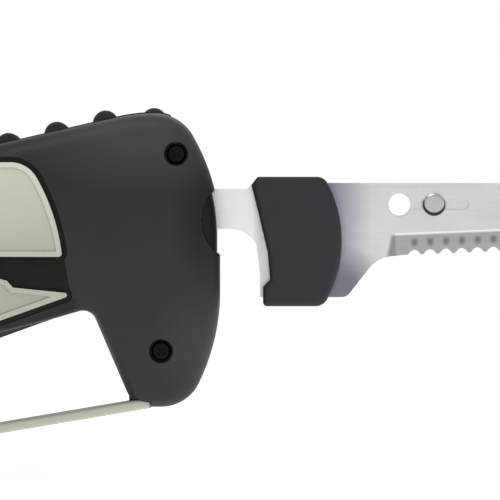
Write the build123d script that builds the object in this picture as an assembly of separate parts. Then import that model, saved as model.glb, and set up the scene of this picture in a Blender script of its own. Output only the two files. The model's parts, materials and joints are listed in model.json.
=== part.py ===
from build123d import *
import os
from math import atan2, cos, degrees, pi, radians, sin, tan

# Electric fillet knife. Millimetres. +X points along the blades to their tip, +Z up to their spine, +Y to the
# knife's left. The origin is on the blades' axis, in the middle of the mouth that the tangs enter.

# ---------------------------------------------------------------- driving sizes
# Handle: side outline, crown of its sides, wall
CREST = (-19.0, 28.4)            # highest point of the head
GUARD_CHIN_R = 12.5              # front of the finger guard's tip
GUARD_HEEL_R = 7.5               # back of the finger guard's tip
NOTCH_R = 4.0                    # hollow between finger guard and grip
HALF_WIDTH = 25.0                # at the widest place
CROWN_RING = 900.0               # radius of the side's crown along the handle
CROWN_TUBE = 110.0               # radius of the side's crown from top to bottom
CROWN_X = -95.0
CROWN_Z = -8.0
EDGE_R = 7.0                     # rounding of the sides into top and bottom
WALL = 2.6
PARTING_V = 0.35                 # groove along the joint of the two housings
PALM_SLOPE = 10.0                # degrees by which the butt face and the cord inlet lean

# Side panels, their raised rims, and the rubber inlay round them
PANEL_PROUD = 0.45
PANEL_DEPTH = 1.5
RIM_PROUD = 0.9
RIM_WIDTH = 1.6
INLAY_WIDTH = 1.5
INLAY_SUNK = 0.2
TRIM_FIT = 0.06                  # between a trim piece's side and its neighbour
TRIM_GAP = 0.05                  # between a trim piece's back and the floor of its pocket

# Thumb grip on the top of the head
PAD_X = (-96.0, -14.5)
PAD_HALF = 8.5
PAD_PROUD = 0.45
PAD_DEPTH = 0.9
RIB_PITCH = 14.5
RIB_FIRST_X = -19.3
RIB_COUNT = 6
RIB_R = 3.8
RIB_FIRST_HEIGHT = 1.25
RIB_HEIGHT = 2.6

# Housing screws: (x, z)
SCREWS = ((-12.6, 16.2), (-17.1, -42.3), (-164.0, -40.0), (-172.0, -12.0))
SCREW_HEAD_R = 2.9
SCREW_HEAD_T = 1.9
SCREW_SHANK_R = 1.5
SCREW_END_Y = 11.0
RECESS_R = 3.6
RECESS_DEPTH = 3.4
BOSS_R = 4.8

# Knuckle bow
BOW_FRONT = (-20.6, -58.0)
BOW_SLOPE = 9.6
BOW_STRAIGHT = 119.0
BOW_BEND_R = 32.0
BOW_T = 3.0
BOW_HALF = 9.0
BOW_EDGE_R = 1.1
BOW_FIT = 0.2

# Blades
BLADE_T = 1.1
BLADE_GAP = 0.1                  # from the middle plane to each blade's inner face
TANG_HALF = 6.0
TANG_END_X = -40.0
SPINE_Z = 7.8
RICASSO_Z = -26.4
EDGE_Z = -13.8
TEETH_X = (56.25, 203.0)
TOOTH_PITCH = 4.74
SCALLOP_R = 4.5
SCALLOP_LEAN = 72.0
SCALLOP_DROP = 12.1              # from the cutting edge down to the axis of a tooth's hollow
EDGE_TAPER = 2.3                 # degrees by which the cutting edge rises towards the tip
BEVEL_X = 53.0
BEVEL_TOP = 6.6
BEVEL_LEFT_T = 0.35
TIP_X = 233.5
TIP_Z = 4.6
KEYHOLE_X = 54.1
KEYHOLE_Z = 1.3
KEYHOLE_R = 3.6
EYE_R = 3.3                      # hole in the left blade behind the keyhole
SLOT_HALF = 1.5
SLOT_END_X = 75.0
RIVET_X = 64.5
RIVET_NECK_R = 1.3
RIVET_HEAD_R = 3.4
LATCH_X = -20.0
TANG_HOLE_R = 2.0

# Collars
COLLAR_Y = 7.6
COLLAR_GAP = 0.15
COLLAR_EDGE_R = 1.6

# Drive
CRANK_X = -60.0
CRANK_THROW = 3.5
WHEEL_TEETH = 20
MODULE = 1.1
WHEEL_R = WHEEL_TEETH * MODULE / 2
WORM_R = 4.5
ADDENDUM = MODULE
DEDENDUM = 1.3
FLANK = tan(radians(20))
THREAD_HALF = 0.19 * pi * MODULE
MOTOR_Z = -(WHEEL_R + WORM_R)
WHEEL_HALF_T = 2.0
HUB_HALF_T = 3.2
PIN_R = 1.5
PIN_END_Y = 7.3
SHAFT_R = 1.6
RUN = 0.04                       # radial running clearance

# Motor
CAN_R = 18.0
CAN_T = 1.4
CAN_X = (-135.0, -78.0)
FAN_X = (-147.0, -141.0)

# Trigger
TRIGGER_PIN = (-46.5, -26.6)
TRIGGER_HALF = 9.8
TRIGGER_SLOT_HALF = 10.4
SWITCH_X = (-77.0, -57.0)
SWITCH_Z = (-31.0, -21.7)
SWITCH_HALF_T = 3.2
SWITCH_HOLES = ((SWITCH_X[0] + 5.0, SWITCH_Z[0] + 3.4), (SWITCH_X[1] - 5.5, SWITCH_Z[0] + 3.4))

# Lock bolt, release button
LOCK_AT = (-112.0, -41.9)
LOCK_R = 2.2
LOCK_TRAVEL = 4.0
BUTTON_X = (-29.2, -22.6)
BUTTON_HALF_Y = 6.0
SHELF_Z = (17.4, 18.4)
SKIRT_Z = (22.6, 24.0)


# ---------------------------------------------------------------- helpers
class Pen:
    """Draws a chain of straight lines and tangent arcs in the side plane, from a point and a heading in degrees."""

    def __init__(self, start, heading=0.0):
        self.at = start
        self.heading = heading
        self.edges = []

    def to(self, end):
        self.edges.append(Line(self.at, end))
        self.heading = degrees(atan2(end[1] - self.at[1], end[0] - self.at[0]))
        self.at = end

    def line(self, length):
        a = radians(self.heading)
        end = (self.at[0] + length * cos(a), self.at[1] + length * sin(a))
        self.edges.append(Line(self.at, end))
        self.at = end

    def arc(self, radius, turn):
        side = 1 if turn > 0 else -1
        out = radians(self.heading + 90 * side)
        centre = (self.at[0] + radius * cos(out), self.at[1] + radius * sin(out))
        first = self.heading - 90 * side

        def point(angle):
            return (centre[0] + radius * cos(radians(angle)), centre[1] + radius * sin(radians(angle)))

        self.edges.append(ThreePointArc(self.at, point(first + turn / 2), point(first + turn)))
        self.at = point(first + turn)
        self.heading += turn


def side_face(edges):
    """A face in the XZ plane from edges drawn in plain x, z."""
    return Face(Wire(edges)).moved(Location(Plane.XZ))


def side_poly(points):
    return side_face(Polyline(*points, close=True).edges())


def across(face, y0, y1):
    """The side-plane face pushed out to the solid between y0 and y1."""
    return extrude(face.moved(Location((0, y0, 0))), y1 - y0, dir=(0, 1, 0))


def block(x, y, z):
    """A box between pairs of limits."""
    size = (x[1] - x[0], y[1] - y[0], z[1] - z[0])
    return Pos((x[0] + x[1]) / 2, (y[0] + y[1]) / 2, (z[0] + z[1]) / 2) * Box(*size)


def rod_y(x, z, r, y0, y1):
    return Pos(x, (y0 + y1) / 2, z) * Rot(X=90) * Cylinder(r, y1 - y0)


def rod_x(x0, x1, r, y=0.0, z=MOTOR_Z):
    return Pos((x0 + x1) / 2, y, z) * Rot(Y=90) * Cylinder(r, x1 - x0)


def rod_z(x, y, r, z0, z1):
    return Pos(x, y, (z0 + z1) / 2) * Cylinder(r, z1 - z0)


def left_of(shape):
    """The mirror image on the knife's left."""
    return mirror(shape, about=Plane.XZ)


PARTS = {}


def keep(name, shape):
    PARTS[name] = shape


# ---------------------------------------------------------------- handle outline
def handle_outline():
    """Side outline of the handle: head, finger guard, grip and butt, all lines and tangent arcs."""
    front = Pen(CREST, 0)
    front.arc(13, -60)
    front.arc(60, -30)
    front.line(16.9)
    front.arc(62, -26)
    front.arc(GUARD_CHIN_R, -64)
    front.line(3.4)
    front.arc(GUARD_HEEL_R, -67.5)
    front.line(23.6)
    front.arc(NOTCH_R, 84.3)
    front.arc(440, -16.8)
    back = Pen(CREST, 180)
    back.arc(50, 13)
    back.line(35)
    back.arc(460, -5)
    back.arc(400, 12)
    back.arc(15, 70 + PALM_SLOPE)
    corner_r = 12.0
    drop = back.at[1] - corner_r * (1 - cos(radians(90 - PALM_SLOPE))) - front.at[1]
    top = back.at
    back.line(drop / cos(radians(PALM_SLOPE)))
    low = back.at
    back.arc(corner_r, 90 - PALM_SLOPE)
    back.to(front.at)
    return side_face(front.edges + back.edges), ((top[0] + low[0]) / 2, (top[1] + low[1]) / 2)


OUTLINE, BUTT = handle_outline()


def body_half(inset):
    """The right half of the handle as one solid, with its skin moved in by inset."""
    face = OUTLINE
    if inset:
        kind = Kind.ARC if inset < 0 else Kind.INTERSECTION
        face = offset(OUTLINE, amount=-inset, kind=kind).faces()[0]
    slab = across(face, -40, 0)
    crown = Pos(CROWN_X, CROWN_RING - HALF_WIDTH, CROWN_Z) * Torus(CROWN_RING - CROWN_TUBE, CROWN_TUBE - inset)
    half = slab & crown
    flank = half.faces().sort_by(Axis.Y)[0]
    return fillet(flank.outer_wire().edges(), EDGE_R - inset)


SKIN = {inset: body_half(inset) for inset in (0, WALL, -PANEL_PROUD, -RIM_PROUD, PANEL_DEPTH, INLAY_SUNK)}
PANEL_BACK = body_half(PANEL_DEPTH - TRIM_GAP)
PAD_TOP = body_half(-PAD_PROUD)
PAD_FLOOR = body_half(PAD_DEPTH)


def whole(half):
    return half + left_of(half)


# ---------------------------------------------------------------- outlines on the side of the grip
def leaf_back():
    """Rear of the leaf-shaped grip trim, from the front of its top edge round to the front of its low edge."""
    leaf = Pen((-61.5, 13.6), 180)
    leaf.arc(110, 14)
    leaf.line(30)
    leaf.arc(440, 4)
    leaf.arc(16.5, 156)
    leaf.arc(120, 12)
    leaf.to((-65.7, -33.6))
    leaf.to((-45.2, -26.3))
    leaf.arc(0.7, 152)
    return leaf


def leaf_front():
    """Front of the trim's upper prong, from its top edge down to its low corner."""
    lobe = Pen((-61.5, 13.6), 0)
    lobe.arc(9, -60)
    lobe.arc(59, -23)
    lobe.arc(1, -97)
    return lobe


def panel_outline():
    """Side panel: the leaf, with its front split in two prongs."""
    lobe = leaf_front()
    leaf = leaf_back()
    leaf.to((-60.6, -23.4))
    leaf.to((-62.4, -21.4))
    leaf.to((-84.0, -15.2))
    leaf.arc(0.5, -150)
    leaf.to(lobe.at)
    return side_face(lobe.edges + leaf.edges)


def leaf_outline():
    """The whole leaf, with the space between the prongs filled."""
    lobe = leaf_front()
    leaf = leaf_back()
    leaf.to(lobe.at)
    return side_face(lobe.edges + leaf.edges)


PANEL = panel_outline()
LEAF = leaf_outline()


def grown(face, amount):
    kind = Kind.ARC if amount > 0 else Kind.INTERSECTION
    return offset(face, amount=amount, kind=kind).faces()[0]


# ---------------------------------------------------------------- knuckle bow
def bow_path(extra):
    """The bow's side outline, grown by extra on each face."""
    half = BOW_T / 2 + extra
    slope = radians(BOW_SLOPE)
    up = (-sin(slope), cos(slope))
    below = (BOW_FRONT[0] - half * up[0] + extra, BOW_FRONT[1] - half * up[1])
    above = (BOW_FRONT[0] + half * up[0] + extra, BOW_FRONT[1] + half * up[1])
    outer = Pen(below, 180 + BOW_SLOPE)
    outer.line(BOW_STRAIGHT)
    outer.arc(BOW_BEND_R + half, -92)
    outer.line(9 + extra)
    inner = Pen(above, 180 + BOW_SLOPE)
    inner.line(BOW_STRAIGHT)
    inner.arc(BOW_BEND_R - half, -92)
    inner.line(9 + extra)
    return side_face(outer.edges + inner.edges + [Line(below, above), Line(outer.at, inner.at)])


def bow():
    strip = across(bow_path(0), -BOW_HALF, BOW_HALF)
    long_edges = [e for e in strip.edges() if abs(abs(e.center().Y) - BOW_HALF) < 0.01]
    strip = fillet(long_edges, BOW_EDGE_R)
    screw_x = BOW_SCREW[0]
    return strip - rod_z(screw_x, 0, SCREW_SHANK_R + 0.15, -70, -50) - rod_z(screw_x, 0, 3.1, -70, BOW_HEAD_Z)


BOW_SCREW = (-25.5, 0.0)
BOW_HEAD_Z = -59.0


def bow_screw():
    head = rod_z(BOW_SCREW[0], 0, 2.8, BOW_HEAD_Z - 1.1, BOW_HEAD_Z)
    socket = extrude(Pos(BOW_SCREW[0], 0, BOW_HEAD_Z - 1.1) * RegularPolygon(1.1, 6), 0.7)
    return head - socket + rod_z(BOW_SCREW[0], 0, SCREW_SHANK_R, BOW_HEAD_Z, -46.0)


# ---------------------------------------------------------------- housings
def trigger_slot():
    return block((-104.2, -41.4), (-TRIGGER_SLOT_HALF, TRIGGER_SLOT_HALF), (-56, -22))


def mouth_disc(grow=0.0):
    """Round region at the nose that the bezel fills."""
    return rod_y(7.0, -3.5, 12.0 + grow, -40, 40)


def pad_band(grow=0.0):
    x = (PAD_X[0] - grow, PAD_X[1] + grow)
    return block(x, (-PAD_HALF - grow, PAD_HALF + grow), (-10, 45))


def vents(side):
    slots = []
    for i in range(5):
        x = -175.0 - 3.3 * i
        slot = SlotCenterToCenter(12, 1.7)
        plane = Plane(origin=(x, side * 8, -29.5 - 0.5 * i), x_dir=(sin(radians(PALM_SLOPE)), 0, -1),
                      z_dir=(0, side, 0))
        slots.append(extrude(plane * slot, 20))
    return slots


def clamshell():
    """What both halves share, drawn as the right half."""
    outer = SKIN[0] - (across(grown(LEAF, INLAY_WIDTH + TRIM_FIT), -40, -6) - SKIN[PANEL_DEPTH])
    outer = outer - (pad_band(0.15) - PAD_FLOOR)
    cavity = SKIN[WALL]
    shell = outer - cavity
    posts = [rod_y(x, z, BOSS_R, -40, 0) & outer for x, z in SCREWS]
    posts += [post & cavity for post in housing_posts()]
    shell = shell + posts
    # openings along the middle: mouth, trigger, bow, cord inlet, release button
    shell = shell - mouth_disc(0.15) - block((-20, 5), (-2.4, 2.4), (-7.2, 7.2))
    shell = shell - trigger_slot()
    shell = shell - across(bow_path(BOW_FIT), -BOW_HALF - BOW_FIT, BOW_HALF + BOW_FIT)
    shell = shell - rod_z(BOW_SCREW[0], 0, SCREW_SHANK_R, -60, -45)
    shell = shell - inlet_envelope(0.15)
    shell = shell - rod_y(*LOCK_AT, LOCK_R + 0.25, -40, 0)
    shell = shell - rod_y(*TRIGGER_PIN, PIN_R, -14.0, 0)
    shell = shell - button_shaft(0.25)
    shell = shell - vents(-1)
    shell = shell - [rod_y(x, z, 0.9, -14.5, 0) for x, z in FRAME_POSTS]
    return shell + (button_shelf() & cavity)


def button_shelf():
    """Floor that the release button's spring stands on, with a hole for the button's stem."""
    shelf = block((-32.0, -20.0), (-30, -0.05), (SHELF_Z[0], SHELF_Z[1]))
    middle = (BUTTON_X[0] + BUTTON_X[1]) / 2
    return shelf - block((middle - 2.0, middle + 2.0), (-3.4, 0), (10, 30))


def housing(shell, side):
    """One half: side -1 is the knife's right and holds the screw heads, side 1 is its left."""
    for x, z in SCREWS:
        if side < 0:
            shell = shell - rod_y(x, z, SCREW_SHANK_R + 0.2, -40, 1)
            shell = shell - rod_y(x, z, RECESS_R, -40, screw_seat_y(x, z))
        else:
            shell = shell - rod_y(x, z, SCREW_SHANK_R, -SCREW_END_Y - 1.0, 1)
    shell = max(shell.solids(), key=lambda s: s.volume)
    return shell if side < 0 else left_of(shell)


def skin_y(x, z):
    """How far out the handle's side is at a place, before its edges are rounded."""
    return HALF_WIDTH - (x - CROWN_X) ** 2 / (2 * CROWN_RING) - (z - CROWN_Z) ** 2 / (2 * CROWN_TUBE)


def screw_seat_y(x, z):
    return -skin_y(x, z) + RECESS_DEPTH + 1.2


def housing_screw(x, z):
    """Pan head with a cross recess, seen in a round pit on the right side."""
    seat = screw_seat_y(x, z)
    head = rod_y(x, z, SCREW_HEAD_R, seat - SCREW_HEAD_T, seat)
    head = fillet(head.edges().sort_by(Axis.Y)[0], 0.8)
    arm = 3.2
    for turn in (45, 135):
        cross = Pos(x, seat - SCREW_HEAD_T + 0.4, z) * Rot(Y=turn) * Box(arm, 1.2, 0.8)
        head = head - cross
    return head + rod_y(x, z, SCREW_SHANK_R, seat, SCREW_END_Y)


def housing_posts():
    """Inner posts and ribs of each half, before they are trimmed to the cavity."""
    posts = [rod_y(x, z, 3.4, -40, -FRAME_Y[1] - 0.05) for x, z in FRAME_POSTS]
    posts.append(rod_y(*TRIGGER_PIN, 3.6, -40, -TRIGGER_SLOT_HALF))
    posts += [rod_y(x, z, 2.4, -40, SWITCH_HALF_T * -1 - 0.05) for x, z in SWITCH_HOLES]
    cradle = rod_x(CAN_X[0] - 10, CAN_X[1] + 10, CAN_R + 0.05)
    for x in (-92.0, -128.0):
        posts += [block((x, x + 2.0), (-40, -0.05), z) - cradle for z in ((-13, 8), (-34, -28))]
    posts += [rod_z(x, -9, 2.2, -60, BOARD_Z[0] - 0.05) for x in (BOARD_X[0] + 3, BOARD_X[1] - 3)]
    return posts


# ---------------------------------------------------------------- trim
def side_panel():
    """Hard panel inside the rim."""
    skin = SKIN[-PANEL_PROUD] - PANEL_BACK
    panel = across(grown(PANEL, -RIM_WIDTH - TRIM_FIT), -40, -6) & skin
    return max(panel.solids(), key=lambda s: s.volume)


def panel_rim():
    """Raised rim that frames the panel."""
    skin = SKIN[-RIM_PROUD] - PANEL_BACK
    rim = (across(PANEL, -40, -6) & skin) - across(grown(PANEL, -RIM_WIDTH), -41, -5)
    return max(rim.solids(), key=lambda s: s.volume)


def grip_inlay():
    """Rubber round the panel and between its prongs."""
    skin = SKIN[INLAY_SUNK] - PANEL_BACK
    inlay = (across(grown(LEAF, INLAY_WIDTH), -40, -6) & skin) - across(grown(PANEL, TRIM_FIT), -41, -5)
    return max(inlay.solids(), key=lambda s: s.volume)


def top_line_z(x):
    """Height of the top outline at x, from the pad's surface."""
    probe = PAD_TOP.intersect(Line((x, 0, 10), (x, 0, 60)))
    return max(v.Z for v in probe.vertices())


def thumb_grip():
    """Soft pad over the joint of the two housings, with ribs across it."""
    pad = pad_band() & whole(PAD_TOP)
    ribs = []
    for i in range(RIB_COUNT):
        x = RIB_FIRST_X - i * RIB_PITCH
        height = RIB_HEIGHT if i else RIB_FIRST_HEIGHT
        bar = rod_y(x, top_line_z(x) - RIB_R + height, RIB_R, -PAD_HALF + 0.6, PAD_HALF - 0.6)
        bar = fillet(bar.edges().filter_by(GeomType.CIRCLE), 0.9)
        ribs.append(bar & pad_band())
    pad = pad + ribs - whole(PAD_FLOOR)
    pad = pad - button_shaft(0.25)
    return max(pad.solids(), key=lambda s: s.volume)


def nose_bezel():
    """Ring of darker plastic round the mouth, set a little back from the head."""
    skin = body_half(0.9)
    ring = mouth_disc() & whole(skin)
    ring = ring - block((-20, 5), (-2.1, 2.1), (-6.9, 6.9))
    ring = ring - (whole(SKIN[WALL]) & block((-40, -4.0), (-18, 18), (-40, 40)))
    return max(ring.solids(), key=lambda s: s.volume)


# ---------------------------------------------------------------- cord inlet
def inlet_plane(out=0.0):
    """Plane on the butt face: its x runs down the face, its y to the left, its z straight out of the butt."""
    a = radians(PALM_SLOPE)
    outward = (-cos(a), 0, -sin(a))
    origin = (BUTT[0] + out * outward[0], 0, BUTT[1] + out * outward[2])
    return Plane(origin=origin, x_dir=(sin(a), 0, -cos(a)), z_dir=outward)


INLET_HALF = (6.6, 11.5)
INLET_DEPTH = 15.0
INLET_PIN_R = 1.18
INLET_PIN_GAP = 8.6
INLET_PIN_LEN = 9.6
INLET_WELL = (8.6, 14.6, 11.5)


def inlet_envelope(grow=0.0):
    size = RectangleRounded(2 * INLET_HALF[0] + 2 * grow, 2 * INLET_HALF[1] + 2 * grow, 2.5)
    return extrude(inlet_plane(1.5) * size, -(INLET_DEPTH + 1.5))


def inlet_socket():
    """Two-pin appliance inlet, a shell with a well that is open to the back."""
    size = RectangleRounded(2 * INLET_HALF[0], 2 * INLET_HALF[1], 2.4)
    body = extrude(inlet_plane(0.25) * size, -INLET_DEPTH)
    well = extrude(inlet_plane(2.0) * RectangleRounded(INLET_WELL[0], INLET_WELL[1], 3.6), -(INLET_WELL[2] + 2))
    body = body - well
    for side in (-1, 1):
        body = body - extrude(inlet_plane(0) * Pos(0, side * INLET_PIN_GAP / 2) * Circle(INLET_PIN_R), -30)
    return body


def inlet_pins():
    pins = []
    for side in (-1, 1):
        pin = inlet_plane(-1.0) * Pos(0, side * INLET_PIN_GAP / 2) * Circle(INLET_PIN_R)
        solid = extrude(pin, -(INLET_DEPTH + 0.4))
        tip = solid.edges().filter_by(GeomType.CIRCLE).sort_by(Axis.X)[0]
        pins.append(fillet(tip, 0.7))
    return Compound(children=pins)


# ---------------------------------------------------------------- blades
def blade_outline():
    """Tang, shoulder, ricasso, cutting edge and tip."""
    low = Pen((TANG_END_X, -TANG_HALF), 0)
    low.to((3.4, -TANG_HALF))
    low.arc(9, -60)
    low.to((12.3, -19.5))
    low.to((12.3, RICASSO_Z))
    low.to((36.8, RICASSO_Z))
    low.arc(3, 52)
    low.line(9.3)
    low.arc(10, -52)
    low.to((BEVEL_X + 2.0, EDGE_Z))
    low.heading = EDGE_TAPER
    low.line(146)
    low.arc(70, 15)
    low.arc(40, 20)
    low.to((TIP_X, TIP_Z))
    low.to((196.0, SPINE_Z))
    low.to((10.5, SPINE_Z))
    low.to((8.2, TANG_HALF))
    low.to((TANG_END_X, TANG_HALF))
    low.to((TANG_END_X, -TANG_HALF))
    face = Face(Wire(low.edges))
    tip = face.vertices().sort_by(Axis.X)[-1]
    face = fillet(tip, 1.2)
    face = fillet([v for v in face.vertices() if abs(v.X - 196.0) < 0.01], 60)
    return face.moved(Location(Plane.XZ))


def edge_z(x):
    return EDGE_Z + (x - BEVEL_X - 2.0) * tan(radians(EDGE_TAPER))


def bevel_cutter():
    """Wedge that grinds the cutting edge thin from the blade's outer face."""
    outer = -BLADE_GAP - BLADE_T
    wedge = Polyline((0, BEVEL_TOP), (-3, BEVEL_TOP), (-3, -4), (BLADE_T - BEVEL_LEFT_T + 0.15, -4),
                     (BLADE_T - BEVEL_LEFT_T, 0), close=True)
    along = (cos(radians(EDGE_TAPER)), 0, sin(radians(EDGE_TAPER)))
    section = Plane(origin=(BEVEL_X, outer, edge_z(BEVEL_X)), x_dir=(0, 1, 0), z_dir=along)
    return extrude(Face(Wire(wedge.edges())).moved(Location(section)), 190, dir=along)


def scallops():
    """Ground hollows of the serration, each a leaning cylinder that runs out on the outer face."""
    cutters = []
    count = int((TEETH_X[1] - TEETH_X[0]) / TOOTH_PITCH)
    lean = radians(SCALLOP_LEAN)
    for i in range(count):
        x = TEETH_X[0] + (i + 0.5) * TOOTH_PITCH
        base = (x, -BLADE_GAP - BEVEL_LEFT_T, edge_z(x) - SCALLOP_DROP)
        axis = (0, -cos(lean), sin(lean))
        cutters.append(extrude(Plane(origin=base, z_dir=axis) * Circle(SCALLOP_R), 24))
    return cutters


def flat_blade():
    return across(BLADE, -BLADE_GAP - BLADE_T, -BLADE_GAP)


def right_blade():
    blade = flat_blade()
    keyhole = rod_y(KEYHOLE_X, KEYHOLE_Z, KEYHOLE_R, -5, 5)
    slot = block((KEYHOLE_X, SLOT_END_X - SLOT_HALF), (-5, 5), (KEYHOLE_Z - SLOT_HALF, KEYHOLE_Z + SLOT_HALF))
    slot_end = rod_y(SLOT_END_X - SLOT_HALF, KEYHOLE_Z, SLOT_HALF, -5, 5)
    return sharpened(blade) - keyhole - slot - slot_end - rod_y(LATCH_X, 0, TANG_HOLE_R, -5, 5)


def sharpened(blade):
    blade = blade - bevel_cutter()
    for cutter in scallops():
        blade = blade - cutter
    return max(blade.solids(), key=lambda s: s.volume)


def left_blade():
    blade = sharpened(flat_blade()) - rod_y(LATCH_X, 0, TANG_HOLE_R, -5, 5)
    blade = blade - rod_y(KEYHOLE_X, KEYHOLE_Z, EYE_R, -5, 5)
    return left_of(blade - rod_y(RIVET_X, KEYHOLE_Z, RIVET_NECK_R, -5, 5))


def blade_rivet():
    """Headed stud fixed in the left blade, sliding in the right blade's keyhole slot."""
    inner = -BLADE_GAP - BLADE_T - 0.12
    neck = rod_y(RIVET_X, KEYHOLE_Z, RIVET_NECK_R, inner, BLADE_GAP + BLADE_T)
    head = rod_y(RIVET_X, KEYHOLE_Z, RIVET_HEAD_R, inner - 0.95, inner)
    head = fillet(head.edges().sort_by(Axis.Y)[0], 0.8)
    tail = rod_y(RIVET_X, KEYHOLE_Z, 2.4, BLADE_GAP + BLADE_T, BLADE_GAP + BLADE_T + 0.6)
    tail = fillet(tail.edges().sort_by(Axis.Y)[-1], 0.5)
    return neck + head + tail


# ---------------------------------------------------------------- collars
def collar_outline():
    """Shield-shaped block: leaning back edge, a foot at its bottom, bowed front edge."""
    ring = Pen((11.6, 9.6), 0)
    ring.to((29.3, 9.6))
    ring.arc(3.5, -62)
    ring.arc(37, -56)
    ring.arc(4, -62)
    bottom = ring.at[1]
    ring.to((14.4, bottom))
    ring.arc(1.2, -90)
    ring.line(4.6)
    ring.to((15.3, ring.at[1] + 2.2))
    ring.to((14.6, -13.0))
    ring.to((12.0, -2.0))
    ring.to((9.7, 7.2))
    ring.heading = 100.0
    ring.to((11.6, 9.6))
    return side_face(ring.edges)


def right_collar():
    block_ = across(COLLAR, -COLLAR_Y, -COLLAR_GAP)
    flank = block_.faces().sort_by(Axis.Y)[0]
    block_ = fillet(flank.outer_wire().edges(), COLLAR_EDGE_R)
    return max((block_ - flat_blade()).solids(), key=lambda s: s.volume)


# ---------------------------------------------------------------- drive
FRAME_Y = (8.3, 10.4)
FRAME_POSTS = ((-70.0, 10.0), (-70.0, -10.5), (-34.0, 11.2), (-34.0, -11.2))
CARRIER_HALF_Z = 8.0


def blade_carrier():
    """Right-hand slider: a yoke plate for the crank pin behind, a channel for the tang in front."""
    yoke = block((-70.0, -43.8), (-7.2, -3.7), (-CARRIER_HALF_Z, CARRIER_HALF_Z))
    front = block((-43.8, -8.2), (-6.6, -0.25), (-CARRIER_HALF_Z, CARRIER_HALF_Z))
    body = yoke + front
    channel = block((-41.5, 0), (-BLADE_GAP - BLADE_T - 0.12, 1), (-TANG_HALF - 0.2, TANG_HALF + 0.2))
    body = body - channel
    pin_slot = block((CRANK_X - PIN_R - 0.25, CRANK_X + PIN_R + 0.25), (-9, 0),
                     (-CRANK_THROW - PIN_R - 0.4, CRANK_THROW + PIN_R + 0.4))
    axle_slot = block((CRANK_X - 5.2, CRANK_X + 5.2), (-9, 0), (-1.9, 1.9))
    body = body - pin_slot - axle_slot
    return body - rod_y(LATCH_X, 0, TANG_HOLE_R + 0.6, -9, 0)


def tang_latch():
    """Leaf spring on the carrier's outer face, with the stud that holds the tang."""
    leaf = block((-41.0, -12.0), (-7.35, -6.72), (-2.2, 2.2))
    stud = rod_y(LATCH_X, 0, TANG_HOLE_R - 0.25, -6.8, -BLADE_GAP - BLADE_T - 0.15)
    rivet = rod_y(-39.2, 0, 1.2, -7.7, -7.3)
    return leaf + stud + rivet


def crank_wheel():
    """Worm wheel on a fixed axle, with a seat for a crank pin in each face."""
    disc = rod_y(CRANK_X, 0, WHEEL_R - DEDENDUM, -WHEEL_HALF_T, WHEEL_HALF_T)
    teeth = []
    for i in range(WHEEL_TEETH):
        turn = 360.0 * (i + 0.5) / WHEEL_TEETH
        tip = THREAD_HALF - ADDENDUM * FLANK
        root = THREAD_HALF + DEDENDUM * FLANK
        outline = side_poly([(-root, WHEEL_R - DEDENDUM - 0.6), (root, WHEEL_R - DEDENDUM - 0.6),
                             (root, WHEEL_R - DEDENDUM), (tip, WHEEL_R + ADDENDUM),
                             (-tip, WHEEL_R + ADDENDUM), (-root, WHEEL_R - DEDENDUM)])
        tooth = across(outline, -WHEEL_HALF_T, WHEEL_HALF_T)
        teeth.append(Pos(CRANK_X, 0, 0) * Rot(Y=turn) * tooth)
    wheel = disc + teeth
    hub = rod_y(CRANK_X, 0, 7.0, -HUB_HALF_T, HUB_HALF_T)
    return wheel + hub - rod_y(CRANK_X, 0, PIN_R + RUN, -9, 9)


def crank_pins():
    right = rod_y(CRANK_X, CRANK_THROW, PIN_R, -PIN_END_Y, -HUB_HALF_T)
    left = rod_y(CRANK_X, -CRANK_THROW, PIN_R, HUB_HALF_T, PIN_END_Y)
    return Compound(children=[*right.solids(), *left.solids()])


def worm():
    """One right-hand thread on a sleeve that is pressed on the motor shaft."""
    lead = pi * MODULE
    turns = 5
    x0 = CRANK_X - turns * lead / 2
    core_r = WORM_R - DEDENDUM
    core = rod_x(x0 - 2.2, x0 + turns * lead + 1.3, core_r)
    path = Helix(pitch=lead, height=turns * lead, radius=core_r, center=(0, 0, 0), direction=(0, 0, 1))
    start = path @ 0
    plane = Plane(origin=start, x_dir=(start.X, start.Y, 0), z_dir=path % 0)
    root = THREAD_HALF + DEDENDUM * FLANK
    tip = THREAD_HALF - ADDENDUM * FLANK
    depth = ADDENDUM + DEDENDUM
    section = plane * Polygon((-0.3, -root), (depth, -tip), (depth, tip), (-0.3, root), align=None)
    thread = sweep(section, path=path, is_frenet=True)
    # the helix starts on its own x axis: turn that to the top of the worm, where the wheel is
    half_turn = 180.0 * (turns % 2)
    thread = Pos(x0, 0, MOTOR_Z) * Rot(Y=90) * Rot(Z=180 + half_turn) * thread
    return core + thread - rod_x(x0 - 5, x0 + turns * lead + 5, SHAFT_R)


def wheel_axle():
    return rod_y(CRANK_X, 0, PIN_R, -FRAME_Y[1] - 0.6, FRAME_Y[1] + 0.6)


def drive_frame():
    """Right-hand side plate of the drive: carries the wheel's axle, guides the carrier, holds the bearing."""
    plate = block((-75.0, -7.0), (-FRAME_Y[1], -FRAME_Y[0]), (-14.0, 14.0))
    plate = plate - block((-18.0, -5.0), (-20, 0), (11.2, 20))
    rails = [block((-43.0, -7.0), (-FRAME_Y[0], -0.05), z) for z in ((8.3, 11.0), (-11.0, -8.3))]
    bearing = block((-49.0, -44.0), (-FRAME_Y[1], -0.05), (-22.0, -11.5))
    body = plate + rails + bearing
    body = body - rod_y(CRANK_X, 0, PIN_R, -20, 0)
    body = body - block((-38.0, -5.0), (-20, -8.0), (-4.0, 4.0))
    body = body - block((-28.6, -23.2), (-8.3, -6.3), (4.0, 15.0))
    return body - rod_x(-60, -30, BEARING_R)


BEARING_R = 4.0


def front_bearing():
    return rod_x(-48.8, -44.2, BEARING_R) - rod_x(-60, -30, SHAFT_R + RUN)


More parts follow.
